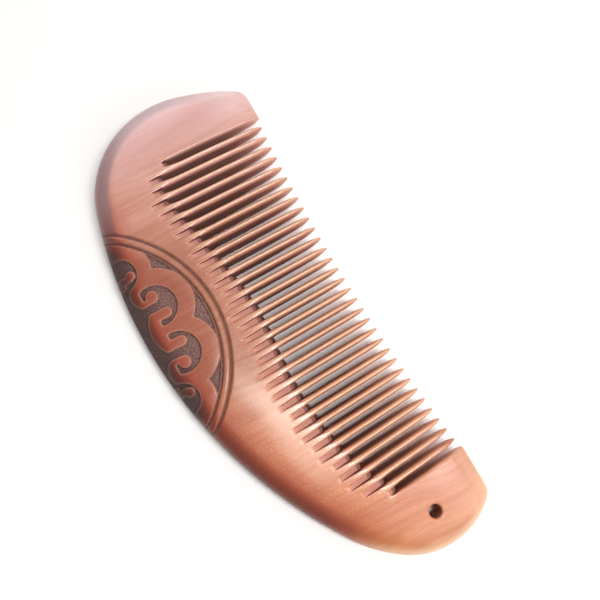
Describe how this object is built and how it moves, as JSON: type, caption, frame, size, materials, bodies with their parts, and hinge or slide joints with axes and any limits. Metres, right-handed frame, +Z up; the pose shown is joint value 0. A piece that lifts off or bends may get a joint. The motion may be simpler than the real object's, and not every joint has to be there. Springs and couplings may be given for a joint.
{
  "type": "beard comb",
  "caption": "Half-moon wooden beard comb with a rounded rim, a carved cloud scroll in a ring on its back, tapered teeth and a small hanging hole in one end.",
  "frame": {"origin": "bottom centre of the bounding box, on the face the comb lies on", "axes": "+X along the tooth row towards the end with the hanging hole, +Y along the teeth towards their tips, +Z up out of the carved face"},
  "size_m": [0.1242, 0.0511, 0.0065],
  "materials": {
    "wood": "satin, oiled, with a dark stained ground in the carving"
  },
  "bodies": {
    "root": {"back": "wood", "end_guard_plain": "wood", "end_guard_hole": "wood", "tooth_01": "wood", "tooth_02": "wood", "tooth_03": "wood", "tooth_04": "wood", "tooth_05": "wood", "tooth_06": "wood", "tooth_07": "wood", "tooth_08": "wood", "tooth_09": "wood", "tooth_10": "wood", "tooth_11": "wood", "tooth_12": "wood", "tooth_13": "wood", "tooth_14": "wood", "tooth_15": "wood", "tooth_16": "wood", "tooth_17": "wood", "tooth_18": "wood", "tooth_19": "wood", "tooth_20": "wood", "tooth_21": "wood", "tooth_22": "wood", "tooth_23": "wood", "tooth_24": "wood", "tooth_25": "wood", "tooth_26": "wood", "tooth_27": "wood", "tooth_28": "wood", "tooth_29": "wood", "tooth_30": "wood", "tooth_31": "wood", "tooth_32": "wood"}
  },
  "joints": []
}
